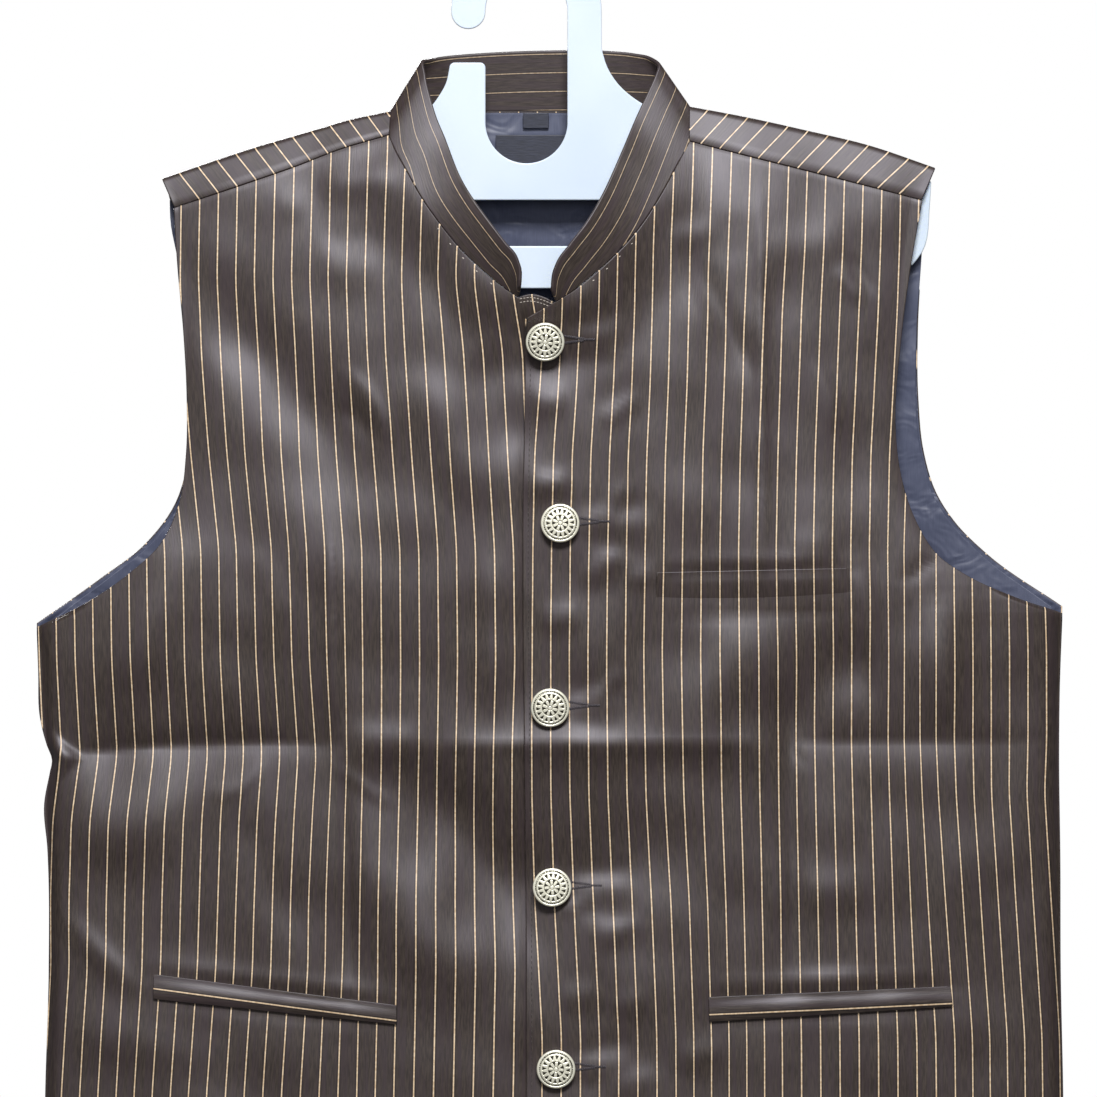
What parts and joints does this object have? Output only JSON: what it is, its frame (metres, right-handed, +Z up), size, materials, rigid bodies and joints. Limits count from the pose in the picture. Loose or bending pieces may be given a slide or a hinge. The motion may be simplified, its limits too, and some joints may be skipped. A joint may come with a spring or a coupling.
{
  "type": "nehru jacket on a hanger",
  "caption": "Sleeveless band-collar jacket in pinstriped suiting with metal buttons and welt pockets, hung flat on a plastic hanger.",
  "frame": {"origin": "the point on the inner top of the hanger's hook that bears on its rail, in the middle of the board", "axes": "+Z up, +X to the right of someone who faces the jacket's front, which faces -Y"},
  "size_m": [0.577, 0.0716, 0.8023],
  "materials": {
    "suiting": "dark brown suiting with a soft sheen and thin tan pinstripes about 10 mm apart",
    "lining": "navy black satin lining",
    "label": "bare black woven label",
    "button_metal": "pale antique gilt with dark recesses",
    "hanger_plastic": "smooth translucent pale blue plastic"
  },
  "bodies": {
    "root": {"front_right": "suiting", "front_left": "suiting", "back": "suiting", "collar": "suiting", "chest_welt": "suiting", "lower_welt_right": "suiting", "lower_welt_left": "suiting", "lining_back": "lining", "size_tag": "label", "neck_label": "label", "button_1": "button_metal", "button_2": "button_metal", "button_3": "button_metal", "button_4": "button_metal", "button_5": "button_metal", "hanger": "hanger_plastic"}
  },
  "joints": []
}
